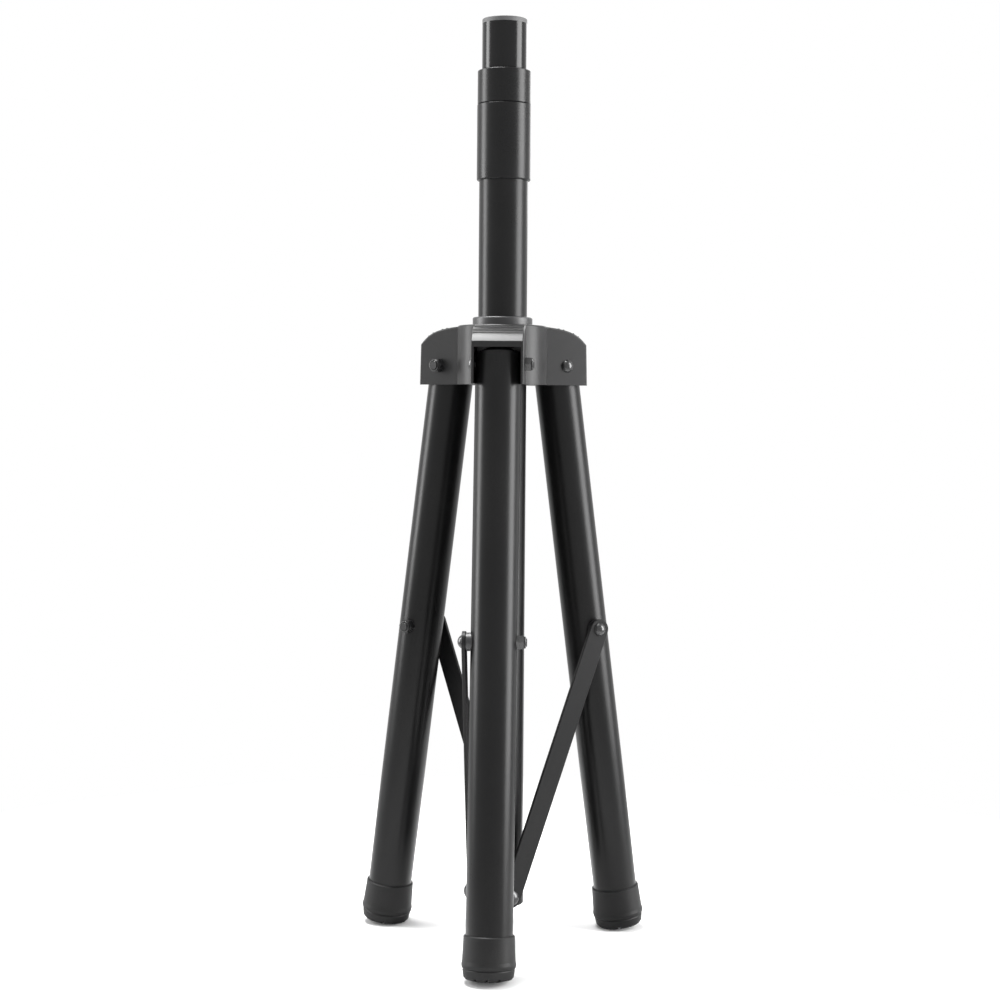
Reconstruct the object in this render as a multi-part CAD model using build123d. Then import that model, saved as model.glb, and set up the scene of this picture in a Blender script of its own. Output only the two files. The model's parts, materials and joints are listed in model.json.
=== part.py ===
"""Speaker stand: a three-legged folding tripod with a telescoping pole.

Units are millimetres and +Z is up. The stand is laid out about the column axis
with z = 0 on the three hub pivots, then moved so that the middle of its
bounding box stands on z = 0. Leg 1 points to -Y, and legs 2 and 3 follow at
120 degree steps, anticlockwise from above.
"""
import os
from math import asin, cos, degrees, radians, sin, sqrt

from build123d import *

# ---- pole, column and leg tubes -------------------------------------------
POLE_D = 35.0
COLUMN_D = 38.1
TUBE_WALL = 1.5
LEG_D = 35.0
LEG_WALL = 1.5
POLE_TOP_Z = 269.7
POLE_LENGTH = 555.0
POLE_TRAVEL = 400.0
CAP_H = 4.4
CAP_CROWN = 0.8
STOP_GROOVE_DEPTH = 0.35
STOP_GROOVE_W = 1.0

# ---- leg linkage ----------------------------------------------------------
REST_TILT = 8.0
HUB_PIVOT_R = 47.0
BRACE_PIVOT_DROP = 210.0
BRACE_LENGTH = 220.0
LEG_LENGTH = 458.0
LEG_TOP_RISE = 8.0
BRACE_W = 16.0
BRACE_T = 3.0
BRACE_GAP = 3.4

# ---- hub ------------------------------------------------------------------
HUB_BODY_R = 35.0
HUB_TOP = 31.0
HUB_BOTTOM = -15.0
ARM_TIP_R = 64.5
ARM_TIP_TOP = 16.8
ARM_DRAFT = 0.8
EAR_T = 2.2
EAR_CLEARANCE = 0.3
SLOT_SWING = 1.3
ARM_GROOVE_R = 0.6
BUSH_R = 22.6
BUSH_FLANGE_R = 23.35
BUSH_FLANGE_H = 6.6
BUSH_SIDE_CLEARANCE = 0.3
BUSH_DRIFT_CLEARANCE = 1.15

# ---- lock knob ------------------------------------------------------------
KNOB_Z = 5.0
KNOB_R = 22.0
KNOB_DEPTH = 17.0
KNOB_LOBES = 6
KNOB_STANDOFF = 4.0
BOSS_R = 11.5
BOSS_REACH = 47.0
STUD_R = 4.0
SHOE_R = 6.6
SHOE_T = 5.4
SHOE_GAP = 1.3
SHOE_TRAVEL = 2.5

# ---- column clutch --------------------------------------------------------
SLEEVE_R = 21.0
SLEEVE_BOTTOM = 143.8
SLEEVE_TOP = 202.6
SPIGOT_R = 19.3
SPIGOT_H = 11.5
NUT_RING_R = 20.75
NUT_RING_H = 26.0
COLLET_H = 10.0
COLUMN_INSERT = 46.0

# ---- column foot bracket --------------------------------------------------
BRACKET_R = 19.85
BRACKET_ABOVE = 13.0
BRACKET_BELOW = 8.0

# ---- fasteners ------------------------------------------------------------
BOLT_R = 3.0
BOLT_HEAD_R = 5.1
BOLT_HEAD_H = 3.4
NUT_AF = 10.0
NUT_H = 5.0
BOLT_STICKOUT = 2.2
RIVET_R = 2.0
RIVET_HEAD_R = 5.6
RIVET_HEAD_H = 2.4
RIVET_SIDE_GAP = 1.05
FLOAT_HOLE_R = 3.85

# ---- feet -----------------------------------------------------------------
FOOT_RIM_R = 18.9
FOOT_MAX_R = 20.3
FOOT_SKIRT = 22.0
FOOT_H = 34.0
FOOT_TOE_R = 18.6
FOOT_FLOOR = 9.0
TREAD_GROOVES = 12
TREAD_W = 2.0

# ---- fits -----------------------------------------------------------------
RUNNING = 0.05
SEAT = 0.02
PLUG_FIT = 0.03

POLE_R = POLE_D / 2
COLUMN_R = COLUMN_D / 2
LEG_R = LEG_D / 2
BRACE_IN = LEG_R + BRACE_GAP
BRACE_OUT = BRACE_IN + BRACE_T
ARM_HALF_W = LEG_R + EAR_CLEARANCE + EAR_T
NUT_RING_BOTTOM = SLEEVE_TOP + 0.3
NUT_RING_TOP = NUT_RING_BOTTOM + NUT_RING_H
COLUMN_TOP = SLEEVE_BOTTOM + COLUMN_INSERT
BRACE_TILT = degrees(
    asin((HUB_PIVOT_R + BRACE_PIVOT_DROP * sin(radians(REST_TILT))) / BRACE_LENGTH)
)
LOWER_PIVOT_Z = -(
    BRACE_PIVOT_DROP * cos(radians(REST_TILT)) + BRACE_LENGTH * cos(radians(BRACE_TILT))
)
COLUMN_BOTTOM = LOWER_PIVOT_Z - BRACKET_BELOW


def rod(radius, z_low, z_high):
    """Solid round bar on the Z axis between two heights."""
    return Pos(0, 0, (z_low + z_high) / 2) * Cylinder(radius, z_high - z_low)


def pipe(outer, inner, z_low, z_high):
    """Round tube on the Z axis between two heights."""
    return rod(outer, z_low, z_high) - rod(inner, z_low - 1, z_high + 1)


def turned(points):
    """Solid of revolution about Z from (radius, height) points."""
    profile = Polyline(*[(r, 0, z) for r, z in points], close=True)
    return revolve(make_face(profile), axis=Axis.Z)


def hexagon_bar(across_flats, z_low, z_high):
    """Hexagonal bar on the Z axis."""
    face = RegularPolygon(across_flats / 2, 6, major_radius=False)
    return Pos(0, 0, z_low) * extrude(face, z_high - z_low)


def dome(radius, height, z_base):
    """Low round head rising from z_base."""
    sphere_r = (radius**2 + height**2) / (2 * height)
    ball = Pos(0, 0, z_base + height - sphere_r) * Sphere(sphere_r)
    return ball & rod(radius, z_base, z_base + height + 1)


def in_leg_plane(shape, number):
    """Turns a part drawn with its leg towards +X to leg 1, 2 or 3."""
    return Rot(0, 0, -90 + 120 * (number - 1)) * shape


def on_cross_axis(shape, radius, z):
    """Lays a Z axis part across the leg plane, so its +Z end is at -t."""
    return Pos(radius, 0, z) * Rot(90, 0, 0) * shape


def along_leg(shape, number):
    """Places a part drawn hanging down -Z from its pivot on a leg at rest."""
    leaned = Pos(HUB_PIVOT_R, 0, 0) * Rot(0, -REST_TILT, 0) * shape
    return in_leg_plane(leaned, number)


def along_brace(shape, number):
    """Places a part drawn hanging down -Z from its pivot on a brace at rest."""
    tilt = radians(REST_TILT)
    x = HUB_PIVOT_R + BRACE_PIVOT_DROP * sin(tilt)
    z = -BRACE_PIVOT_DROP * cos(tilt)
    leaned = Pos(x, 0, z) * Rot(0, BRACE_TILT, 0) * shape
    return in_leg_plane(leaned, number)


def on_bracket(shape, number):
    """Places a part drawn on Z, pointing out, at one lower brace pivot."""
    return in_leg_plane(on_cross_axis(shape, 0, LOWER_PIVOT_Z), number)


# ---- hub ------------------------------------------------------------------
def hub_arm():
    """One hollow arm of the hub, pointing to +X."""
    back = HUB_BODY_R - 15
    fall = HUB_TOP - ARM_TIP_TOP
    bend = Spline(
        (back, 0, HUB_TOP - 0.4),
        (HUB_BODY_R + 4, 0, HUB_TOP - 0.4 - fall * 0.10),
        (ARM_TIP_R - 9, 0, HUB_TOP - 0.4 - fall * 0.44),
        (ARM_TIP_R, 0, ARM_TIP_TOP),
        tangents=((1, 0, 0), (1, 0, -1.15)),
    )
    sides = Polyline(
        (ARM_TIP_R, 0, ARM_TIP_TOP),
        (ARM_TIP_R + ARM_DRAFT, 0, HUB_BOTTOM),
        (back, 0, HUB_BOTTOM),
        (back, 0, HUB_TOP - 0.4),
    )
    face = make_face(Curve() + [bend, sides])
    arm = extrude(face, ARM_HALF_W, dir=(0, 1, 0), both=True)
    rim = arm.edges().filter_by(lambda e: e.center().X > HUB_BODY_R - 4)
    rim = rim.filter_by(lambda e: e.center().Z > HUB_BOTTOM + 1)
    return fillet(rim, 1.2)


def hub_slot():
    """Space cut in one arm for the leg head and its swing."""
    swing_r = sqrt(LEG_R**2 + LEG_TOP_RISE**2) + SLOT_SWING
    width = 2 * (LEG_R + EAR_CLEARANCE)
    head = Pos(HUB_PIVOT_R, 0, 0) * Rot(90, 0, 0) * Cylinder(swing_r, width)
    back = HUB_PIVOT_R - swing_r
    drop = 40.0
    below = Pos(back + 30, 0, -drop / 2) * Box(60, width, drop)
    mouth_top = ARM_TIP_TOP - 4.2
    mouth = Pos(HUB_PIVOT_R + 20, 0, mouth_top / 2) * Box(40, width, mouth_top)
    return head + below + mouth


def hub_casting():
    """Main hub casting with three arms and the boss for the lock screw."""
    body = rod(HUB_BODY_R, HUB_BOTTOM, HUB_TOP)
    body = fillet(body.edges().group_by(Axis.Z)[-1], 1.6)
    boss = Pos(0, BOSS_REACH / 2, KNOB_Z) * Rot(90, 0, 0) * Cylinder(BOSS_R, BOSS_REACH)
    boss = fillet(boss.edges().group_by(Axis.Y)[-1], 1.0)
    hub = body + boss
    for number in (1, 2, 3):
        hub = hub + in_leg_plane(hub_arm(), number)
    hub = hub - rod(BUSH_R + SEAT, HUB_BOTTOM - 5, HUB_TOP + 20)
    swing = HUB_TOP - ARM_TIP_TOP
    for number in (1, 2, 3):
        hub = hub - in_leg_plane(hub_slot(), number)
        bolt_hole = on_cross_axis(rod(BOLT_R + SEAT, -40, 40), HUB_PIVOT_R, 0)
        hub = hub - in_leg_plane(bolt_hole, number)
        for step, fall in ((3.5, 0.02), (8.5, 0.10), (13.5, 0.24)):
            z = HUB_TOP - 0.2 - swing * fall
            line = Pos(HUB_BODY_R + step, 0, z) * Rot(90, 0, 0)
            groove = line * Cylinder(ARM_GROOVE_R, 2 * ARM_HALF_W - 8)
            hub = hub - in_leg_plane(groove, number)
    hub = hub - lock_bores()
    lower = pipe(HUB_BODY_R - 3.0, BUSH_R + 3.0, HUB_BOTTOM - 1, HUB_BOTTOM + 6)
    for number in (1, 2, 3):
        wall = Pos(HUB_PIVOT_R - 5, 0, 0) * Box(60, 2 * ARM_HALF_W, 80)
        lower = lower - in_leg_plane(wall, number)
    return hub - lower


def lock_bores():
    """Stepped bore for the shoe and the screw of the column lock."""
    shoe_end = COLUMN_R + SHOE_GAP + SHOE_T + SHOE_TRAVEL + 0.4
    shoe = rod(SHOE_R + RUNNING, 0, shoe_end)
    screw = rod(STUD_R + RUNNING, 0, BOSS_REACH + 2)
    return Pos(0, 0, KNOB_Z) * Rot(-90, 0, 0) * (shoe + screw)


def hub_bush():
    """Flanged guide bush that the column slides through."""
    flange = rod(BUSH_FLANGE_R, HUB_TOP + SEAT, HUB_TOP + BUSH_FLANGE_H)
    flange = fillet(flange.edges().group_by(Axis.Z)[-1], 1.5)
    sleeve = rod(BUSH_R, HUB_BOTTOM + 1, HUB_TOP + SEAT)
    side = COLUMN_R + BUSH_SIDE_CLEARANCE
    bore = SlotCenterToCenter(2 * BUSH_DRIFT_CLEARANCE, 2 * side, rotation=90)
    bore = Pos(0, 0, HUB_BOTTOM) * extrude(bore, HUB_TOP - HUB_BOTTOM + 20)
    return flange + sleeve - bore - lock_bores()


def pivot_bolt():
    """Domed bolt through the two ears of one arm, head up."""
    seat = ARM_HALF_W + SEAT
    shank = rod(BOLT_R, -seat - NUT_H - BOLT_STICKOUT, seat)
    return shank + dome(BOLT_HEAD_R, BOLT_HEAD_H, seat)


def pivot_nut():
    """Nut on the far side of the pivot bolt."""
    seat = ARM_HALF_W + SEAT
    nut = hexagon_bar(NUT_AF, -seat - NUT_H, -seat)
    return nut - rod(BOLT_R + SEAT, -60, 60)


def hub_set(shape):
    """Three copies of one hub fastener, one in each arm."""
    placed = on_cross_axis(shape, HUB_PIVOT_R, 0)
    return Compound([in_leg_plane(placed, number) for number in (1, 2, 3)])


# ---- column lock ----------------------------------------------------------
def clamp_shoe():
    """Round shoe that the lock screw presses on the column."""
    face = COLUMN_R + SHOE_GAP
    puck = rod(SHOE_R, face - 1.2, face + SHOE_T)
    socket = rod(STUD_R + RUNNING, face + SHOE_T - 2.0, face + SHOE_T + 5)
    puck = Rot(-90, 0, 0) * (puck - socket)
    return Pos(0, 0, KNOB_Z) * puck - rod(face, KNOB_Z - 20, KNOB_Z + 20)


def knob_stud():
    """Threaded stud of the lock knob, ending in the shoe."""
    tip = COLUMN_R + SHOE_GAP + SHOE_T - 2.0 + SEAT
    end = BOSS_REACH + KNOB_STANDOFF + KNOB_DEPTH - 4.0
    stud = chamfer(rod(STUD_R, tip, end).edges(), 0.5)
    return Pos(0, 0, KNOB_Z) * Rot(-90, 0, 0) * stud


def knob_grip():
    """Lobed hand knob on the stud."""
    base = BOSS_REACH + KNOB_STANDOFF
    scoop_r = 8.0
    grip = rod(KNOB_R, base, base + KNOB_DEPTH)
    for index in range(KNOB_LOBES):
        angle = 360 / KNOB_LOBES * (index + 0.5)
        scoop = Rot(0, 0, angle) * Pos(KNOB_R + scoop_r - 4.0, 0, 0)
        grip = grip - scoop * rod(scoop_r, base - 1, base + KNOB_DEPTH + 1)
    grip = fillet(grip.edges().group_by(Axis.Z)[-1], 1.6)
    grip = fillet(grip.edges().group_by(Axis.Z)[0], 1.0)
    skirt = rod(9.0, base - 2.5, base + 0.5)
    bore = rod(STUD_R + SEAT, base - 5, base + KNOB_DEPTH - 4.0 + SEAT)
    return Pos(0, 0, KNOB_Z) * Rot(-90, 0, 0) * (grip + skirt - bore)


# ---- legs -----------------------------------------------------------------
def leg_tube():
    """Leg tube hanging from its pivot, with both bolt holes."""
    end = -(LEG_LENGTH - FOOT_FLOOR)
    tube = pipe(LEG_R, LEG_R - LEG_WALL, end, LEG_TOP_RISE)
    upper = on_cross_axis(rod(BOLT_R + RUNNING, -30, 30), 0, 0)
    lower = on_cross_axis(rod(BOLT_R + SEAT, -30, 30), 0, -BRACE_PIVOT_DROP)
    return tube - upper - lower


def leg_plug():
    """Plug in the head of the leg, bored for the hub pivot bolt."""
    core_r = LEG_R - LEG_WALL - PLUG_FIT
    core = rod(core_r, -28, LEG_TOP_RISE)
    core = core + dome(core_r, 5.5, LEG_TOP_RISE - SEAT)
    hollow = rod(core_r - 3.0, -29, -10)
    pin = on_cross_axis(rod(BOLT_R + RUNNING, -30, 30), 0, 0)
    return core - hollow - pin


def foot():
    """Rubber boot with a flared skirt, a toe and a grooved sole."""
    top = -(LEG_LENGTH - FOOT_H)
    toe = -(LEG_LENGTH - 4.0)
    outer = turned(
        [
            (0, top),
            (FOOT_RIM_R - 0.8, top),
            (FOOT_RIM_R, top - 0.8),
            (FOOT_MAX_R - 0.5, top - FOOT_SKIRT + 3.5),
            (FOOT_MAX_R, top - FOOT_SKIRT + 1.0),
            (FOOT_MAX_R - 0.3, top - FOOT_SKIRT - 1.2),
            (FOOT_MAX_R - 1.3, top - FOOT_SKIRT - 2.2),
            (FOOT_MAX_R - 0.9, top - FOOT_SKIRT - 3.0),
            (FOOT_TOE_R, toe),
            (FOOT_TOE_R - 1.4, toe - 1.6),
            (FOOT_TOE_R * 0.6, toe - 3.2),
            (0, toe - 4.0),
        ]
    )
    socket = rod(LEG_R + PLUG_FIT, -(LEG_LENGTH - FOOT_FLOOR) - SEAT, top + 1)
    boot = outer - socket
    for index in range(TREAD_GROOVES // 2):
        bar = Pos(0, 0, toe - 2.6) * Box(60, TREAD_W, 5.0)
        boot = boot - Rot(0, 0, 180 / (TREAD_GROOVES // 2) * index) * bar
    return boot


def brace_bolt():
    """Domed bolt that carries the brace on its leg."""
    seat = BRACE_OUT + RUNNING
    shank = rod(BOLT_R, -LEG_R - NUT_H - BOLT_STICKOUT, seat)
    bolt = shank + dome(BOLT_HEAD_R, BOLT_HEAD_H, seat)
    return on_cross_axis(bolt, 0, -BRACE_PIVOT_DROP)


def brace_nut():
    """Nut of the brace bolt, seated on the round of the leg."""
    nut = hexagon_bar(NUT_AF, -LEG_R - NUT_H, -LEG_R + 1.5)
    nut = on_cross_axis(nut - rod(BOLT_R + SEAT, -60, 60), 0, -BRACE_PIVOT_DROP)
    return nut - rod(LEG_R + SEAT, -BRACE_PIVOT_DROP - 20, -BRACE_PIVOT_DROP + 20)


def brace_spacer():
    """Spacer between the leg and its brace."""
    ring = pipe(7.0, BOLT_R + SEAT, LEG_R - 2.0, BRACE_IN - RUNNING)
    ring = on_cross_axis(ring, 0, -BRACE_PIVOT_DROP)
    return ring - rod(LEG_R + SEAT, -BRACE_PIVOT_DROP - 20, -BRACE_PIVOT_DROP + 20)


# ---- braces ---------------------------------------------------------------
def brace_bar(lower_hole_r):
    """Flat brace with round ends, hanging from its upper pivot."""
    blade = SlotCenterToCenter(BRACE_LENGTH, BRACE_W, rotation=90)
    blade = blade - Pos(0, BRACE_LENGTH / 2) * Circle(BOLT_R + RUNNING)
    blade = blade - Pos(0, -BRACE_LENGTH / 2) * Circle(lower_hole_r)
    bar = extrude(blade, BRACE_T)
    bar = chamfer(bar.faces().sort_by(Axis.Z)[-1].outer_wire().edges(), 0.4)
    bar = chamfer(bar.faces().sort_by(Axis.Z)[0].outer_wire().edges(), 0.4)
    return Pos(0, -BRACE_IN, -BRACE_LENGTH / 2) * Rot(90, 0, 0) * bar


# ---- column ---------------------------------------------------------------
def column_tube():
    """Outer tube of the mast, drilled for the bracket rivets."""
    tube = pipe(COLUMN_R, COLUMN_R - TUBE_WALL, COLUMN_BOTTOM + 2, COLUMN_TOP)
    for number in (1, 2, 3):
        tube = tube - on_bracket(rod(RIVET_R + SEAT, 8, 30), number)
    return tube


def clutch_housing():
    """Sleeve on the column top that carries the clutch thread."""
    top = SLEEVE_TOP + SPIGOT_H
    sleeve = rod(SLEEVE_R, SLEEVE_BOTTOM, SLEEVE_TOP)
    sleeve = fillet(sleeve.edges().group_by(Axis.Z)[0], 1.2)
    sleeve = chamfer(sleeve.edges().group_by(Axis.Z)[-1], 0.4)
    sleeve = sleeve + rod(SPIGOT_R, SLEEVE_TOP - 1, top)
    sleeve = sleeve - rod(POLE_R + RUNNING, SLEEVE_BOTTOM - 1, top + 1)
    return sleeve - rod(COLUMN_R + SEAT, SLEEVE_BOTTOM - 1, COLUMN_TOP + SEAT)


def brace_bracket():
    """Collar on the column foot that the three braces are riveted to."""
    low = COLUMN_BOTTOM
    high = LOWER_PIVOT_Z + BRACKET_ABOVE
    ring = chamfer(rod(BRACKET_R, low, high).edges(), 0.3)
    ring = ring - rod(COLUMN_R + SEAT, low + 2 - SEAT, high + 1)
    ring = ring - rod(COLUMN_R - 4.0, low - 1, low + 5)
    for number in (1, 2, 3):
        ring = ring - on_bracket(rod(RIVET_R + SEAT, 8, 30), number)
    return ring


def bracket_rivet():
    """One lower pivot rivet with its clenched inner end."""
    seat = BRACE_OUT + RIVET_SIDE_GAP
    clench = COLUMN_R - TUBE_WALL - 1.2
    rivet = rod(RIVET_R, clench, seat) + dome(RIVET_HEAD_R, RIVET_HEAD_H, seat)
    return rivet


# ---- clutch and pole ------------------------------------------------------
def clutch_collet():
    """Split cone that grips the pole when the clutch nut is turned."""
    low = SLEEVE_TOP + SPIGOT_H + 0.5
    high = low + COLLET_H
    cone = turned(
        [
            (POLE_R + RUNNING, low),
            (SPIGOT_R - 0.2, low),
            (SPIGOT_R - 0.2, low + 4.0),
            (POLE_R + 0.9, high),
            (POLE_R + RUNNING, high),
        ]
    )
    for index in range(4):
        slit = Rot(0, 0, 45 + 90 * index) * Pos(POLE_R + 2, 0, low + 6.5)
        cone = cone - slit * Box(8, 1.4, COLLET_H)
    return cone


def clutch_nut():
    """Hand ring of the clutch."""
    low = SLEEVE_TOP + SPIGOT_H + 0.5
    high = low + COLLET_H
    ring = rod(NUT_RING_R, NUT_RING_BOTTOM, NUT_RING_TOP)
    ring = fillet(ring.edges().group_by(Axis.Z)[-1], 0.8)
    ring = chamfer(ring.edges().group_by(Axis.Z)[0], 0.4)
    cavity = turned(
        [
            (0, NUT_RING_BOTTOM - 1),
            (SPIGOT_R + 0.1, NUT_RING_BOTTOM - 1),
            (SPIGOT_R + 0.1, low + 4.2),
            (POLE_R + 1.15, high + 0.1),
            (POLE_R + 0.35, high + 0.4),
            (POLE_R + 0.35, NUT_RING_TOP - 1.8),
            (POLE_R + 1.9, NUT_RING_TOP + 0.02),
            (POLE_R + 1.9, NUT_RING_TOP + 1),
            (0, NUT_RING_TOP + 1),
        ]
    )
    return ring - cavity


def pole_tube():
    """Inner sliding pole."""
    top = POLE_TOP_Z - CAP_H
    tube = pipe(POLE_R, POLE_R - TUBE_WALL, top - POLE_LENGTH, top - SEAT)
    low = NUT_RING_TOP + RUNNING
    high = low + STOP_GROOVE_W
    return tube - pipe(POLE_R + 1, POLE_R - STOP_GROOVE_DEPTH, low, high)


def pole_cap():
    """Flush end cap of the pole."""
    top = POLE_TOP_Z - CAP_H
    rim = fillet(rod(POLE_R, top, POLE_TOP_Z - CAP_CROWN).edges().group_by(Axis.Z)[-1], 0.7)
    crown = dome(POLE_R - 1.5, CAP_CROWN, POLE_TOP_Z - CAP_CROWN - SEAT)
    spigot = rod(POLE_R - TUBE_WALL - PLUG_FIT, top - 16, top + 1)
    hollow = rod(POLE_R - TUBE_WALL - 3.0, top - 17, top - 1)
    return rim + crown + spigot - hollow


def pole_guide():
    """Guide plug in the foot of the pole."""
    low = POLE_TOP_Z - CAP_H - POLE_LENGTH
    flange = chamfer(rod(POLE_R, low - 6, low - SEAT).edges().group_by(Axis.Z)[0], 1.0)
    spigot = rod(POLE_R - TUBE_WALL - PLUG_FIT, low - 1, low + 14)
    return flange + spigot - rod(POLE_R - TUBE_WALL - 3.0, low - 7, low + 15)


def all_parts():
    """Every named piece of the stand, placed at rest."""
    parts = {
        "hub_casting": hub_casting(),
        "hub_bush": hub_bush(),
        "hub_pivot_bolts": hub_set(pivot_bolt()),
        "hub_pivot_nuts": hub_set(pivot_nut()),
        "clamp_shoe": clamp_shoe(),
        "knob_stud": knob_stud(),
        "knob_grip": knob_grip(),
        "column_tube": column_tube(),
        "clutch_housing": clutch_housing(),
        "brace_bracket": brace_bracket(),
        "bracket_rivets": Compound([on_bracket(bracket_rivet(), n) for n in (1, 2, 3)]),
        "clutch_collet": clutch_collet(),
        "clutch_nut": clutch_nut(),
        "pole_tube": pole_tube(),
        "pole_cap": pole_cap(),
        "pole_guide": pole_guide(),
    }
    for number in (1, 2, 3):
        hole = RIVET_R + RUNNING if number == 1 else FLOAT_HOLE_R
        parts[f"brace_bar_{number}"] = along_brace(brace_bar(hole), number)
        for name, make in (
            ("leg_tube", leg_tube),
            ("leg_plug", leg_plug),
            ("foot", foot),
            ("brace_bolt", brace_bolt),
            ("brace_nut", brace_nut),
            ("brace_spacer", brace_spacer),
        ):
            parts[f"{name}_{number}"] = along_leg(make(), number)
    return parts


def main():
    """Builds the stand, stands it on z = 0 and writes one file per piece."""
    os.makedirs("parts", exist_ok=True)
    parts = all_parts()
    box = Compound(list(parts.values())).bounding_box()
    shift = Pos(-(box.min.X + box.max.X) / 2, -(box.min.Y + box.max.Y) / 2, -box.min.Z)
    for name, shape in parts.items():
        export_step(shift * shape, f"parts/{name}.step")


main()
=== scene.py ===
"""Looks of a folding speaker stand: finishes, small hardware, light and camera."""
import json
import logging
import math
from dataclasses import dataclass
from enum import Enum
from typing import Any, Iterable

import bmesh
import bpy
from mathutils import Matrix, Vector


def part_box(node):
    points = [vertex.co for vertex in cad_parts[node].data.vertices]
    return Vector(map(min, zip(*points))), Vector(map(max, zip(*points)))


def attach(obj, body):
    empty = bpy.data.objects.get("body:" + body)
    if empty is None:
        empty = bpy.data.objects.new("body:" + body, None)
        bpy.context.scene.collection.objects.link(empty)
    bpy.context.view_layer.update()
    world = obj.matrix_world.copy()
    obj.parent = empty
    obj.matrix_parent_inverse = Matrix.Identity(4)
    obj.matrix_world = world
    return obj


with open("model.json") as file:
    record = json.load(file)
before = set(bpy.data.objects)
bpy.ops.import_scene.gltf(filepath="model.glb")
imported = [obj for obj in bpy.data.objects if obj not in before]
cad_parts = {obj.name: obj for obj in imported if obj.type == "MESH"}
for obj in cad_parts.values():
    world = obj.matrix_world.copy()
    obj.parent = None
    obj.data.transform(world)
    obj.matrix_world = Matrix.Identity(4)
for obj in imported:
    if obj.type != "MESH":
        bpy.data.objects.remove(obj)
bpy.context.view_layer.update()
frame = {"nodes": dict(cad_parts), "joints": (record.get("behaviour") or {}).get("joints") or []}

log = logging.getLogger("stand")
MM = 0.001
Triple = tuple[float, float, float]


# ---- shader writing -------------------------------------------------------
class Tree:
    """A node tree that is written as Python expressions."""

    def __init__(self, tree: bpy.types.NodeTree) -> None:
        """Starts with an empty tree.

        Args:
            tree: The node tree of a material or world.
        """
        self.tree = tree
        tree.nodes.clear()

    def node(
        self, kind: str, settings: dict[str, Any] | None = None, **inputs: Any
    ) -> bpy.types.Node:
        """Adds one node.

        Args:
            kind: The node's type, such as "ShaderNodeTexNoise".
            settings: Attributes that are set before the sockets.
            inputs: Socket values or links, by socket name with _ for a space,
                or by number as i0, i1 and so on.

        Returns:
            The new node.
        """
        made = self.tree.nodes.new(kind)
        for name, value in (settings or {}).items():
            setattr(made, name, value)
        for name, value in inputs.items():
            if name[0] == "i" and name[1:].isdigit():
                socket = made.inputs[int(name[1:])]
            else:
                socket = made.inputs[name.replace("_", " ")]
            self.feed(socket, value)
        return made

    def feed(self, socket: bpy.types.NodeSocket, value: Any) -> None:
        """Gives a socket a link or a plain value."""
        if isinstance(value, Val):
            self.tree.links.new(value.socket, socket)
        elif isinstance(value, bpy.types.NodeSocket):
            self.tree.links.new(value, socket)
        else:
            socket.default_value = value

    def val(self, socket: bpy.types.NodeSocket) -> "Val":
        """Wraps an output socket for use in expressions."""
        return Val(self, socket)


class Val:
    """A number on a socket, with the operators that the finishes use."""

    def __init__(self, tree: Tree, socket: bpy.types.NodeSocket) -> None:
        """Keeps the socket and the tree that it is in."""
        self.tree = tree
        self.socket = socket

    def _math(self, operation: str, a: Any, b: Any = 0.0, clamp: bool = False) -> "Val":
        """Adds one Math node and returns its result."""
        settings = {"operation": operation, "use_clamp": clamp}
        made = self.tree.node("ShaderNodeMath", settings, i0=a, i1=b)
        return Val(self.tree, made.outputs[0])

    def __add__(self, other: Any) -> "Val":
        """self + other."""
        return self._math("ADD", self, other)

    def __radd__(self, other: Any) -> "Val":
        """other + self."""
        return self._math("ADD", other, self)

    def __sub__(self, other: Any) -> "Val":
        """self - other."""
        return self._math("SUBTRACT", self, other)

    def __rsub__(self, other: Any) -> "Val":
        """other - self."""
        return self._math("SUBTRACT", other, self)

    def __mul__(self, other: Any) -> "Val":
        """self * other."""
        return self._math("MULTIPLY", self, other)

    def __rmul__(self, other: Any) -> "Val":
        """other * self."""
        return self._math("MULTIPLY", other, self)

    def above(self, edge: float, soft: float) -> "Val":
        """Mask that rises from 0 to 1 as the value passes edge, over soft."""
        return self._math("MULTIPLY", self - (edge - soft / 2), 1.0 / soft, True)

    def at_least(self, other: Any) -> "Val":
        """The larger of the two."""
        return self._math("MAXIMUM", self, other)


class Grain(Enum):
    """Kinds of fine surface that a finish can have."""

    ORANGE_PEEL = "orange peel"
    MOULDED = "moulded"
    RUBBER = "rubber"
    DRAWN = "drawn"
    PLATED = "plated"


@dataclass(frozen=True)
class GrainSizes:
    """Scale and height of one kind of fine surface.

    Args:
        scale: Cycles per metre of the fine noise.
        height: Height of the relief in metres.
        stretch: Scale along Z against the others.
        coarse: Cycles per metre of the broad noise.
    """

    scale: float
    height: float
    stretch: float
    coarse: float


GRAINS: dict[Grain, GrainSizes] = {
    Grain.ORANGE_PEEL: GrainSizes(900.0, 0.000035, 1.0, 28.0),
    Grain.MOULDED: GrainSizes(1900.0, 0.00004, 1.0, 35.0),
    Grain.RUBBER: GrainSizes(1300.0, 0.00006, 1.0, 45.0),
    Grain.DRAWN: GrainSizes(2600.0, 0.000006, 0.02, 22.0),
    Grain.PLATED: GrainSizes(2400.0, 0.000015, 1.0, 90.0),
}


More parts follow.
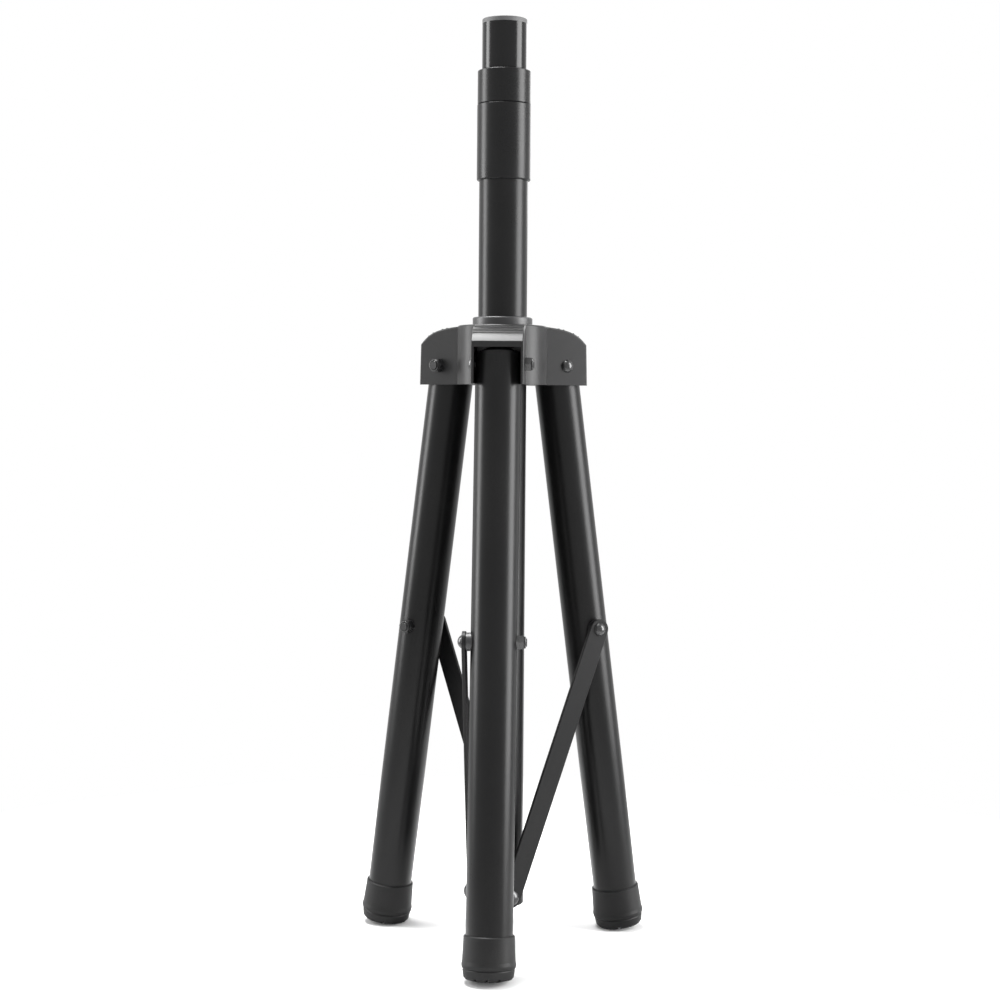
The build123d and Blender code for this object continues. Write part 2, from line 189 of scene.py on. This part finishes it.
@dataclass(frozen=True)
class Finish:
    """One surface finish of the stand.

    Args:
        name: Material name.
        colour: Linear base colour.
        roughness: Middle of the roughness.
        grain: Kind of fine surface.
        metallic: 1 for bare or plated metal.
        specular: Specular level of a dielectric.
        coat: Weight of a clear top layer.
        coat_roughness: Roughness of that layer.
        mottle: Share by which the broad noise lightens or darkens the colour.
        dust: Share of pale dust that gathers in broad patches.
        uneven: Change of roughness over the surface.
    """

    name: str
    colour: Triple
    roughness: float
    grain: Grain
    metallic: float = 0.0
    specular: float = 0.5
    coat: float = 0.0
    coat_roughness: float = 0.1
    mottle: float = 0.12
    dust: float = 0.0
    uneven: float = 0.08

    def material(self) -> bpy.types.Material:
        """Builds the finish once and returns its material."""
        made = bpy.data.materials.get(self.name)
        if made:
            return made
        made = bpy.data.materials.new(self.name)
        made.use_nodes = True
        made.diffuse_color = (*self.colour, 1.0)
        made.roughness = self.roughness
        tree = Tree(made.node_tree)
        sizes = GRAINS[self.grain]
        place = tree.node("ShaderNodeTexCoord").outputs["Object"]
        shaped = tree.node(
            "ShaderNodeMapping", None, Vector=place, Scale=(1.0, 1.0, sizes.stretch)
        ).outputs[0]
        fine = self._noise(tree, shaped, sizes.scale, 3.0)
        broad = self._noise(tree, place, sizes.coarse, 4.0)
        patches = self._noise(tree, place, sizes.coarse * 0.35, 2.0)
        colour = self._colour(tree, fine, broad, patches)
        roughness = self.roughness + (broad - 0.5) * self.uneven + (fine - 0.5) * 0.06
        relief = fine * 0.75 + broad * 0.25
        bump = tree.node(
            "ShaderNodeBump", None, Strength=1.0, Distance=sizes.height, Height=relief
        )
        shader = tree.node(
            "ShaderNodeBsdfPrincipled",
            None,
            Base_Color=colour,
            Roughness=roughness.at_least(0.04),
            Metallic=self.metallic,
            Specular_IOR_Level=self.specular,
            Coat_Weight=self.coat,
            Coat_Roughness=self.coat_roughness,
            Normal=bump.outputs[0],
        )
        tree.node("ShaderNodeOutputMaterial", None, Surface=shader.outputs[0])
        return made

    def _noise(
        self, tree: Tree, place: bpy.types.NodeSocket, scale: float, detail: float
    ) -> Val:
        """Adds one noise texture and returns its value."""
        made = tree.node(
            "ShaderNodeTexNoise", None, Vector=place, Scale=scale, Detail=detail
        )
        return tree.val(made.outputs["Fac"])

    def _colour(self, tree: Tree, fine: Val, broad: Val, patches: Val) -> Any:
        """Mixes the base colour with its mottling and dust.

        Args:
            tree: The material's tree.
            fine: Fine noise.
            broad: Broad noise.
            patches: Very broad noise.

        Returns:
            The colour's output socket.
        """
        dark = tuple(c * (1.0 - self.mottle) for c in self.colour)
        light = tuple(c * (1.0 + self.mottle) for c in self.colour)
        mask = (broad * 0.7 + fine * 0.3).above(0.5, 0.35)
        mixed = self._mix(tree, mask, (*dark, 1.0), (*light, 1.0))
        if not self.dust:
            return mixed
        settled = patches.above(0.56, 0.25) * fine.above(0.5, 0.3) * self.dust
        return self._mix(tree, settled, mixed, (0.20, 0.19, 0.175, 1.0))

    @staticmethod
    def _mix(tree: Tree, mask: Val, low: Any, high: Any) -> bpy.types.NodeSocket:
        """Mixes two colours by a mask."""
        settings = {"data_type": "RGBA", "blend_type": "MIX"}
        made = tree.node("ShaderNodeMix", settings, i0=mask, i6=low, i7=high)
        return made.outputs[2]


POWDER_COAT = Finish(
    "powder_coat_black", (0.0045, 0.0045, 0.0047), 0.3, Grain.ORANGE_PEEL, specular=0.2,
    dust=0.02
)
POLE_COAT = Finish(
    "pole_coat_gloss", (0.0045, 0.0045, 0.0047), 0.18, Grain.DRAWN, specular=0.24,
    uneven=0.05,
)
BRACE_COAT = Finish(
    "brace_coat_black", (0.007, 0.007, 0.0073), 0.42, Grain.ORANGE_PEEL, specular=0.2,
    dust=0.02
)
HUB_PLASTIC = Finish(
    "hub_plastic_charcoal", (0.0095, 0.0095, 0.0098), 0.38, Grain.MOULDED, specular=0.26,
    dust=0.03
)
CLUTCH_PLASTIC = Finish(
    "clutch_plastic_black", (0.0045, 0.0045, 0.0047), 0.28, Grain.MOULDED, specular=0.22
)
KNOB_PLASTIC = Finish("knob_plastic_black", (0.009, 0.009, 0.0094), 0.45, Grain.MOULDED)
CAP_PLASTIC = Finish("cap_plastic_grey", (0.07, 0.07, 0.071), 0.62, Grain.MOULDED)
BUSH_NYLON = Finish("bush_nylon_black", (0.02, 0.02, 0.021), 0.4, Grain.MOULDED)
# Pale nylon. On the clutch collet this pale tone is partly the nylon's own colour and partly a
# painted highlight that stands in for the bright crescent of reflected light at the clutch nut's
# chamfer.
PALE_NYLON_AND_PAINTED_HIGHLIGHT = Finish("pale_nylon_and_painted_highlight", (0.42, 0.42, 0.41), 0.45, Grain.MOULDED)
FOOT_RUBBER = Finish(
    "foot_rubber_black", (0.005, 0.005, 0.0052), 0.5, Grain.RUBBER, specular=0.22,
    dust=0.03,
)
BLACK_STEEL = Finish(
    "fastener_black_steel", (0.01, 0.01, 0.0105), 0.28, Grain.PLATED, coat=0.3,
    coat_roughness=0.2,
)
ZINC_STEEL = Finish(
    "fastener_zinc_steel", (0.55, 0.55, 0.54), 0.32, Grain.PLATED, metallic=1.0
)


# ---- geometry written as node trees ---------------------------------------
class Ribbing:
    """Geometry Nodes tree that repeats a small profile along or round an axis."""

    def __init__(self, name: str) -> None:
        """Makes the empty group with its output.

        Args:
            name: Name of the node group.
        """
        self.group = bpy.data.node_groups.new(name, "GeometryNodeTree")
        for side in ("INPUT", "OUTPUT"):
            self.group.interface.new_socket(
                "Geometry", in_out=side, socket_type="NodeSocketGeometry"
            )
        self.keys: dict[str, str] = {}

    def size(self, name: str, kind: str, value: Any) -> None:
        """Adds one named input to the tree."""
        made = self.group.interface.new_socket(name, in_out="INPUT", socket_type=kind)
        if value is not None:
            made.default_value = value
        self.keys[name] = made.identifier

    def node(
        self, kind: str, settings: dict[str, Any] | None = None, **inputs: Any
    ) -> bpy.types.Node:
        """Adds one geometry node.

        Args:
            kind: The node's type.
            settings: Attributes that are set before the sockets.
            inputs: Socket values or links, by name with _ for a space.

        Returns:
            The new node.
        """
        made = self.group.nodes.new(kind)
        for name, value in (settings or {}).items():
            setattr(made, name, value)
        for name, value in inputs.items():
            socket = made.inputs[name.replace("_", " ")]
            if isinstance(value, bpy.types.NodeSocket):
                self.group.links.new(value, socket)
            else:
                socket.default_value = value
        return made

    def close(self, geometry: bpy.types.NodeSocket, dress: Any) -> None:
        """Ends the tree in Realize Instances and Set Material."""
        real = self.node("GeometryNodeRealizeInstances", Geometry=geometry)
        smooth = self.node(
            "GeometryNodeSetShadeSmooth", Geometry=real.outputs[0], Shade_Smooth=True
        )
        done = self.node(
            "GeometryNodeSetMaterial", Geometry=smooth.outputs[0], Material=dress
        )
        end = self.group.nodes.new("NodeGroupOutput")
        self.group.links.new(done.outputs[0], end.inputs[0])

    def grow(
        self, values: dict[str, Any], points: Iterable[Vector] = ()
    ) -> bpy.types.Mesh:
        """Runs the tree with the given sizes.

        Args:
            values: Value of each named input.
            points: Points that the seed mesh has.

        Returns:
            A plain mesh of the result.
        """
        base = bpy.data.meshes.new("seed")
        base.from_pydata([tuple(p) for p in points], [], [])
        seed = bpy.data.objects.new("seed", base)
        bpy.context.scene.collection.objects.link(seed)
        modifier = seed.modifiers.new("grow", "NODES")
        modifier.node_group = self.group
        for name, value in values.items():
            modifier[self.keys[name]] = value
        graph = bpy.context.evaluated_depsgraph_get()
        mesh = bpy.data.meshes.new_from_object(seed.evaluated_get(graph))
        seed.modifiers.remove(modifier)
        bpy.data.objects.remove(seed)
        return mesh


class ThreadRidges(Ribbing):
    """Row of fine rings that stands for a screw thread along +Z from 0."""

    def __init__(self) -> None:
        """Builds the tree: one ring repeated on a line."""
        super().__init__("thread_ridges")
        self.size("Radius", "NodeSocketFloat", 0.003)
        self.size("Ridge", "NodeSocketFloat", 0.0003)
        self.size("Pitch", "NodeSocketFloat", 0.001)
        self.size("Turns", "NodeSocketInt", 4)
        self.size("Finish", "NodeSocketMaterial", None)
        given = self.group.nodes.new("NodeGroupInput").outputs
        path = self.node(
            "GeometryNodeCurvePrimitiveCircle", Resolution=40, Radius=given["Radius"]
        )
        section = self.node(
            "GeometryNodeCurvePrimitiveCircle", Resolution=8, Radius=given["Ridge"]
        )
        ring = self.node(
            "GeometryNodeCurveToMesh",
            Curve=path.outputs[0],
            Profile_Curve=section.outputs[0],
        )
        step = self.node("ShaderNodeCombineXYZ", Z=given["Pitch"])
        line = self.node(
            "GeometryNodeMeshLine", Count=given["Turns"], Offset=step.outputs[0]
        )
        rings = self.node(
            "GeometryNodeInstanceOnPoints",
            Points=line.outputs[0],
            Instance=ring.outputs[0],
        )
        self.close(rings.outputs[0], given["Finish"])


class CrossRibs(Ribbing):
    """Rounded ribs on given points, all turned to lie along one direction."""

    def __init__(self) -> None:
        """Builds the tree: one capped rib on every point of the seed."""
        super().__init__("cross_ribs")
        self.size("Rib", "NodeSocketFloat", 0.0004)
        self.size("Length", "NodeSocketFloat", 0.04)
        self.size("Turn", "NodeSocketVector", (0.0, 0.0, 0.0))
        self.size("Finish", "NodeSocketMaterial", None)
        given = self.group.nodes.new("NodeGroupInput").outputs
        half = self.node(
            "ShaderNodeMath", {"operation": "MULTIPLY"}, Value=given["Length"]
        )
        half.inputs[1].default_value = 0.5
        back = self.node(
            "ShaderNodeMath", {"operation": "MULTIPLY"}, Value=given["Length"]
        )
        back.inputs[1].default_value = -0.5
        start = self.node("ShaderNodeCombineXYZ", X=back.outputs[0])
        end = self.node("ShaderNodeCombineXYZ", X=half.outputs[0])
        spine = self.node(
            "GeometryNodeCurvePrimitiveLine", Start=start.outputs[0], End=end.outputs[0]
        )
        dense = self.node("GeometryNodeResampleCurve", Curve=spine.outputs[0], Count=9)
        section = self.node(
            "GeometryNodeCurvePrimitiveCircle", Resolution=10, Radius=given["Rib"]
        )
        rib = self.node(
            "GeometryNodeCurveToMesh",
            Curve=dense.outputs[0],
            Profile_Curve=section.outputs[0],
            Fill_Caps=True,
        )
        ribs = self.node(
            "GeometryNodeInstanceOnPoints",
            Points=given["Geometry"],
            Instance=rib.outputs[0],
            Rotation=given["Turn"],
        )
        self.close(ribs.outputs[0], given["Finish"])


# ---- mesh helpers ---------------------------------------------------------
def lathe(name: str, profile: Iterable[tuple[float, float]], steps: int = 96) -> bpy.types.Mesh:
    """Turns a closed ring profile about +Z.

    Args:
        name: Mesh name.
        profile: Closed loop of (radius, height) points in metres, seen with the
            radius to the right and anticlockwise, so that faces point outward.
        steps: Number of divisions round the axis.

    Returns:
        The mesh, with outward faces.
    """
    loop = list(profile)
    shape = bmesh.new()
    rows = []
    for step in range(steps):
        angle = 2.0 * math.pi * step / steps
        turn = (math.cos(angle), math.sin(angle))
        rows.append([shape.verts.new((r * turn[0], r * turn[1], z)) for r, z in loop])
    for step in range(steps):
        here, there = rows[step], rows[(step + 1) % steps]
        for index in range(len(loop)):
            after = (index + 1) % len(loop)
            shape.faces.new((here[index], there[index], there[after], here[after]))
    bmesh.ops.recalc_face_normals(shape, faces=shape.faces)
    mesh = bpy.data.meshes.new(name)
    shape.to_mesh(mesh)
    shape.free()
    mesh.polygons.foreach_set("use_smooth", [True] * len(mesh.polygons))
    return mesh


def piece(
    name: str, mesh: bpy.types.Mesh, body: str, finish: Finish
) -> bpy.types.Object:
    """Links a mesh as a piece that rides on a body.

    Args:
        name: Piece name.
        mesh: Mesh in the stand's own frame, in metres.
        body: Body that the piece moves with.
        finish: Finish of the piece.

    Returns:
        The new object.
    """
    mesh.name = name
    made = bpy.data.objects.new(name, mesh)
    bpy.context.scene.collection.objects.link(made)
    if not mesh.materials:
        mesh.materials.append(finish.material())
    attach(made, body)
    log.info("piece %s on %s", name, body)
    return made


def moved(mesh: bpy.types.Mesh, matrix: Matrix) -> bpy.types.Mesh:
    """Moves a mesh's own points and returns it."""
    mesh.transform(matrix)
    return mesh


def joined(name: str, meshes: list[bpy.types.Mesh]) -> bpy.types.Mesh:
    """Joins meshes that share one finish.

    Args:
        name: Name of the result.
        meshes: Meshes to join, which are removed.

    Returns:
        One mesh.
    """
    shape = bmesh.new()
    for mesh in meshes:
        shape.from_mesh(mesh)
    result = bpy.data.meshes.new(name)
    for material in meshes[0].materials:
        result.materials.append(material)
    shape.to_mesh(result)
    shape.free()
    for mesh in meshes:
        bpy.data.meshes.remove(mesh)
    result.polygons.foreach_set("use_smooth", [True] * len(result.polygons))
    return result


def on_axis(foot: Vector, along: Vector) -> Matrix:
    """Matrix that stands a +Z drawing at a point, along a direction."""
    turn = Vector((0, 0, 1)).rotation_difference(along.normalized())
    return Matrix.Translation(foot) @ turn.to_matrix().to_4x4()


def box_middle(node: str) -> Vector:
    """Middle of a node's box."""
    low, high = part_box(node)
    return (Vector(low) + Vector(high)) / 2.0


def joint(name: str) -> dict[str, Any]:
    """Looks up a joint of the frame by name."""
    return next(j for j in frame["joints"] if j["name"] == name)


def dress(finishes: dict[str, Finish]) -> None:
    """Gives CAD nodes their finishes by node name or by its first part."""
    for node, made in frame["nodes"].items():
        match = [key for key in finishes if node.startswith(key)]
        if not match:
            continue
        finish = finishes[max(match, key=len)]
        if not made.material_slots:
            made.data.materials.append(None)
        for held in made.material_slots:
            held.material = finish.material()
        log.info("node %s: %s", node, finish.name)


def on_line(node: str, foot: Vector, along: Vector, within: float = 0.008) -> float:
    """Farthest reach of a node along a line, near that line.

    Args:
        node: Name of the CAD node.
        foot: A point of the line.
        along: Direction of the line.
        within: Distance from the line up to which points count.

    Returns:
        The largest distance from the foot along the line.
    """
    ahead = along.normalized()
    far = 0.0
    for vertex in frame["nodes"][node].data.vertices:
        offset = vertex.co - foot
        reach = offset.dot(ahead)
        if (offset - ahead * reach).length < within:
            far = max(far, reach)
    return far


def top_of(node: str, x: float, y: float) -> float:
    """Height of a node's highest surface over a place, by a ray from above."""
    hit, place, _, _ = frame["nodes"][node].ray_cast(
        Vector((x, y, 2.0)), Vector((0, 0, -1))
    )
    return place.z if hit else 0.0


# ---- sub-assemblies --------------------------------------------------------
@dataclass
class BoltEnd:
    """Locking collar and thread on the end of a bolt past its nut.

    Args:
        bolt_radius: Radius of the shank.
        pitch: Distance between thread crests.
        crest: Radius of a crest's section.
        collar_outer: Outer radius of the nut's collar.
        collar_height: Height of the collar over the nut.
    """

    bolt_radius: float = 3.0 * MM
    pitch: float = 0.62 * MM
    crest: float = 0.2 * MM
    collar_outer: float = 4.5 * MM
    collar_height: float = 1.3 * MM

    def build(
        self, threads: ThreadRidges, nut: str, bolt: str, foot: Vector, along: Vector
    ) -> tuple[bpy.types.Mesh, bpy.types.Mesh]:
        """Makes the two meshes in place.

        Args:
            threads: The thread tree.
            nut: Node that has the nut.
            bolt: Node that has the bolt.
            foot: A point on the bolt's axis.
            along: Direction from the head to the nut.

        Returns:
            The collar and the thread.
        """
        face = on_line(nut, foot, along)
        end = on_line(bolt, foot, along)
        inner = self.bolt_radius + 0.3 * MM
        high = self.collar_height
        edge = 0.35 * MM
        loop = [
            (inner, -0.1 * MM),
            (self.collar_outer, -0.1 * MM),
            (self.collar_outer, high - edge),
            (self.collar_outer - edge * 0.3, high - edge * 0.3),
            (self.collar_outer - edge, high),
            (inner + edge, high),
            (inner, high - edge),
        ]
        collar = lathe("collar", loop, 48)
        ahead = along.normalized()
        moved(collar, on_axis(foot + ahead * face, ahead))
        turns = max(2, int((end - face - 0.3 * MM) / self.pitch))
        thread = threads.grow(
            {
                "Radius": self.bolt_radius - 0.06 * MM,
                "Ridge": self.crest,
                "Pitch": self.pitch,
                "Turns": turns,
                "Finish": BLACK_STEEL.material(),
            }
        )
        start = end - 0.35 * MM - self.pitch * (turns - 1)
        moved(thread, on_axis(foot + ahead * start, ahead))
        return collar, thread


@dataclass
class Hub:
    """Hub casting with its three arms, bush, bolts and nuts.

    Args:
        rib_first: Distance of the first rib from the axis.
        rib_step: Distance between ribs.
        rib_count: Ribs on each arm.
        rib_radius: Radius of a rib's section.
        rib_length: Length of a rib across the arm.
    """

    rib_first: float = 40.0 * MM
    rib_step: float = 4.3 * MM
    rib_count: int = 5
    rib_radius: float = 0.55 * MM
    rib_length: float = 38.0 * MM

    def dress(self) -> None:
        """Gives the casting and its fasteners their finishes."""
        dress(
            {
                "hub_casting": HUB_PLASTIC,
                "hub_bush": BUSH_NYLON,
                "hub_pivot_bolts": BLACK_STEEL,
                "hub_pivot_nuts": BLACK_STEEL,
            }
        )

    def build(self, threads: ThreadRidges, ribs: CrossRibs) -> None:
        """Adds the ribs on the arm tops and the bolt ends.

        Args:
            threads: The thread tree.
            ribs: The cross rib tree.
        """
        axis = column_axis()
        rows: list[bpy.types.Mesh] = []
        collars: list[bpy.types.Mesh] = []
        ends: list[bpy.types.Mesh] = []
        for name in ("leg_fold", "leg_fold_2", "leg_fold_3"):
            across = -Vector(joint(name)["axis"])
            outward = Vector((across.y, -across.x, 0.0))
            places = []
            for step in range(self.rib_count):
                place = axis + outward * (self.rib_first + self.rib_step * step)
                high = top_of("hub_casting", place.x, place.y)
                places.append(Vector((place.x, place.y, high - self.rib_radius * 0.15)))
            turn = math.atan2(across.y, across.x)
            rows.append(
                ribs.grow(
                    {
                        "Rib": self.rib_radius,
                        "Length": self.rib_length,
                        "Turn": (0.0, 0.0, turn),
                        "Finish": HUB_PLASTIC.material(),
                    },
                    places,
                )
            )
            foot = pivot_of(name)
            collar, thread = BoltEnd().build(
                threads, "hub_pivot_nuts", "hub_pivot_bolts", foot, across
            )
            collars.append(collar)
            ends.append(thread)
        piece("arm_ribs", joined("arm_ribs", rows), "hub", HUB_PLASTIC)
        piece(
            "pivot_collars", joined("c", collars), "hub", BLACK_STEEL
        )
        piece("pivot_threads", joined("t", ends), "hub", BLACK_STEEL)


@dataclass
class LockKnob:
    """Hand knob at the back that clamps the column.

    Args:
        ring_radius: Middle radius of the ring on the knob's face.
        ring_width: Width of that ring.
        ring_height: Height of the ring over the face.
    """

    ring_radius: float = 9.0 * MM
    ring_width: float = 1.6 * MM
    ring_height: float = 0.6 * MM

    def dress(self) -> None:
        """Gives the knob, its stud and its shoe their finishes."""
        dress(
            {
                "knob_grip": KNOB_PLASTIC,
                "knob_stud": ZINC_STEEL,
                "clamp_shoe": PALE_NYLON_AND_PAINTED_HIGHLIGHT,
            }
        )

    def build(self) -> None:
        """Adds the raised ring on the knob's outer face."""
        low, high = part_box("knob_grip")
        middle = (Vector(low) + Vector(high)) / 2.0
        inner = self.ring_radius - self.ring_width / 2
        outer = self.ring_radius + self.ring_width / 2
        top = self.ring_height
        loop = [
            (inner, -0.3 * MM),
            (outer, -0.3 * MM),
            (outer, top * 0.5),
            (outer - 0.3 * MM, top),
            (inner + 0.3 * MM, top),
            (inner, top * 0.5),
        ]
        face = on_line("knob_grip", middle, Vector((0, 1, 0)), 0.010)
        ring = lathe("ring", loop)
        moved(ring, on_axis(middle + Vector((0, face, 0)), Vector((0, 1, 0))))
        piece("knob_face_ring", ring, "lock_knob", KNOB_PLASTIC)


@dataclass
class Column:
    """Fixed column with its brace bracket, clutch and telescoping pole."""

    def dress(self) -> None:
        """Gives the column, clutch and pole their finishes."""
        dress(
            {
                "column_tube": POWDER_COAT,
                "brace_bracket": BRACE_COAT,
                "bracket_rivets": BLACK_STEEL,
                "clutch_housing": CLUTCH_PLASTIC,
                "clutch_nut": CLUTCH_PLASTIC,
                "clutch_collet": PALE_NYLON_AND_PAINTED_HIGHLIGHT,
                # The collet's pale colour is partly a painted highlight: it stands in for the
                # bright crescent of reflected light at the clutch nut's chamfer.
                "pole_tube": POLE_COAT,
                "pole_cap": CAP_PLASTIC,
                "pole_guide": BUSH_NYLON,
            }
        )


@dataclass
class Legs:
    """Three legs with their feet, braces and bolts."""

    count: int = 3

    def dress(self) -> None:
        """Gives the legs, feet, braces and fasteners their finishes."""
        dress(
            {
                "leg_tube": POWDER_COAT,
                "leg_plug": BUSH_NYLON,
                "foot": FOOT_RUBBER,
                "brace_bar": BRACE_COAT,
                "brace_bolt": BLACK_STEEL,
                "brace_nut": BLACK_STEEL,
                "brace_spacer": BUSH_NYLON,
            }
        )

    def build(self, threads: ThreadRidges) -> None:
        """Adds the collar and thread at each brace bolt.

        Args:
            threads: The thread tree.
        """
        for number in range(1, self.count + 1):
            across = -Vector(joint(f"brace_turn_{number}")["axis"])
            nut = f"brace_nut_{number}"
            foot = box_middle(nut)
            collar, thread = BoltEnd().build(
                threads, nut, f"brace_bolt_{number}", foot, across
            )
            body = f"leg_{number}"
            piece(f"brace_collar_{number}", collar, body, BLACK_STEEL)
            piece(f"brace_thread_{number}", thread, body, BLACK_STEEL)


def column_axis() -> Vector:
    """Point of the column's axis at the height of the floor."""
    middle = box_middle("column_tube")
    return Vector((middle.x, middle.y, 0.0))


def pivot_of(name: str) -> Vector:
    """Place of a hinge in the stand's own frame."""
    return Vector(joint(name)["pos_m"])


# ---- studio ----------------------------------------------------------------
@dataclass(frozen=True)
class Softbox:
    """One area light that faces a point.

    Args:
        name: Light name.
        place: Position in metres.
        aim: Point that it faces.
        width: Width in metres.
        height: Height in metres.
        power: Power in watts.
    """

    name: str
    place: Triple
    aim: Triple
    width: float
    height: float
    power: float

    def build(self) -> None:
        """Adds the light to the scene."""
        data = bpy.data.lights.new(self.name, "AREA")
        data.shape = "RECTANGLE"
        data.size = self.width
        data.size_y = self.height
        data.energy = self.power
        lamp = bpy.data.objects.new(self.name, data)
        bpy.context.scene.collection.objects.link(lamp)
        lamp.location = self.place
        toward = Vector(self.aim) - Vector(self.place)
        lamp.rotation_euler = toward.to_track_quat("-Z", "Y").to_euler()


@dataclass
class Studio:
    """Floor, surroundings, lights and camera.

    Args:
        ambient: Level of the surroundings as light.
        clear_from: Distance from the column where the floor starts to turn white.
        clear_over: Distance over which it does.
        focal: Focal length in millimetres on a 36 mm sensor.
        shift: Shift of the picture.
        turn: Angle by which the camera goes round the column, in degrees.
        yaw: Angle of the view to the right, in degrees.
        pitch: Angle of the view upward, in degrees.
        roll: Angle of the view about its own line, in degrees.
        offset: Place of the camera from the hub's middle, in metres.
        hub_height: Height of the hub's pivots.
    """

    ambient: float = 0.4
    clear_from: float = 0.22
    clear_over: float = 0.5
    focal: float = 69.246
    shift: tuple[float, float] = (-0.0026, -0.0277)
    turn: float = 3.7
    yaw: float = 0.313
    pitch: float = -1.782
    roll: float = 0.44
    offset: Triple = (-0.00728, -1.5069, -0.0366)
    hub_height: float = 0.454297

    def build(self) -> None:
        """Sets the whole studio up."""
        self._floor()
        self._world()
        for light in (
            Softbox("over", (-0.3, 0.15, 1.9), (0, 0, 0.45), 0.7, 0.7, 62.0),
            Softbox("right", (1.5, -0.1, 0.75), (0, 0, 0.5), 0.8, 1.9, 62.0),
            Softbox("left", (-1.6, 0.1, 0.9), (0, 0, 0.4), 0.6, 1.6, 34.0),
            Softbox("behind", (0.3, 1.7, 1.3), (0, 0, 0.4), 1.4, 1.2, 10.0),
        ):
            light.build()
        self._camera()
        bpy.context.scene.view_settings.view_transform = "Standard"

    def _floor(self) -> None:
        """Adds the pale floor, which turns white away from the stand."""
        shape = bmesh.new()
        bmesh.ops.create_circle(shape, cap_ends=True, segments=96, radius=9.0)
        mesh = bpy.data.meshes.new("studio_floor")
        shape.to_mesh(mesh)
        shape.free()
        floor = bpy.data.objects.new("studio_floor", mesh)
        bpy.context.scene.collection.objects.link(floor)
        pale = bpy.data.materials.new("studio_floor")
        pale.use_nodes = True
        tree = Tree(pale.node_tree)
        place = tree.node("ShaderNodeTexCoord").outputs["Object"]
        reach = tree.node("ShaderNodeVectorMath", {"operation": "LENGTH"}, Vector=place)
        far = tree.val(reach.outputs["Value"]).above(
            self.clear_from + self.clear_over / 2, self.clear_over
        )
        path = tree.node("ShaderNodeLightPath").outputs
        seen = self._seen(tree, path)
        matt = tree.node(
            "ShaderNodeBsdfDiffuse", None, Color=(0.86, 0.86, 0.86, 1), Roughness=1.0
        )
        white = tree.node(
            "ShaderNodeEmission", None, Color=(1, 1, 1, 1), Strength=1.0
        )
        mixed = tree.node(
            "ShaderNodeMixShader", None, i0=far * seen, i1=matt.outputs[0],
            i2=white.outputs[0],
        )
        tree.node("ShaderNodeOutputMaterial", None, Surface=mixed.outputs[0])
        mesh.materials.append(pale)

    @staticmethod
    def _seen(tree: Tree, path: Any) -> Val:
        """Mask of the rays that show the surroundings as a picture."""
        camera = tree.val(path["Is Camera Ray"])
        glossy = tree.val(path["Is Glossy Ray"])
        through = tree.val(path["Is Transmission Ray"])
        return camera.at_least(glossy).at_least(through)

    def _world(self) -> None:
        """Sets white surroundings that light the stand at a plain level."""
        world = bpy.data.worlds.new("studio")
        bpy.context.scene.world = world
        world.use_nodes = True
        tree = Tree(world.node_tree)
        seen = self._seen(tree, tree.node("ShaderNodeLightPath").outputs)
        level = seen * (1.0 - self.ambient) + self.ambient
        sky = tree.node(
            "ShaderNodeBackground", None, Color=(1, 1, 1, 1), Strength=level
        )
        tree.node("ShaderNodeOutputWorld", None, Surface=sky.outputs[0])

    def _camera(self) -> None:
        """Adds the camera and makes it the scene's camera."""
        data = bpy.data.cameras.new("camera")
        data.sensor_width = 36.0
        data.lens = self.focal
        data.shift_x, data.shift_y = self.shift
        data.clip_end = 50.0
        camera = bpy.data.objects.new("camera", data)
        bpy.context.scene.collection.objects.link(camera)
        yaw, pitch = math.radians(self.yaw), math.radians(self.pitch)
        roll = math.radians(self.roll)
        right = Vector((math.cos(yaw), -math.sin(yaw), 0.0))
        ahead = Vector(
            (
                math.sin(yaw) * math.cos(pitch),
                math.cos(yaw) * math.cos(pitch),
                math.sin(pitch),
            )
        )
        up = right.cross(ahead)
        side = right * math.cos(roll) + up * math.sin(roll)
        top = up * math.cos(roll) - right * math.sin(roll)
        basis = Matrix((side, top, -ahead)).transposed().to_4x4()
        here = Matrix.Translation(Vector(self.offset))
        hub = column_axis() + Vector((0, 0, self.hub_height))
        round_it = Matrix.Rotation(math.radians(self.turn), 4, "Z")
        camera.matrix_world = Matrix.Translation(hub) @ round_it @ here @ basis
        bpy.context.scene.camera = camera


def main() -> None:
    """Builds every sub-assembly and the studio."""
    logging.basicConfig(level=logging.INFO, format="%(name)s: %(message)s")
    threads = ThreadRidges()
    ribs = CrossRibs()
    hub = Hub()
    hub.dress()
    hub.build(threads, ribs)
    knob = LockKnob()
    knob.dress()
    knob.build()
    column = Column()
    column.dress()
    legs = Legs()
    legs.dress()
    legs.build(threads)
    Studio().build()


if __name__ == "__main__":
    main()
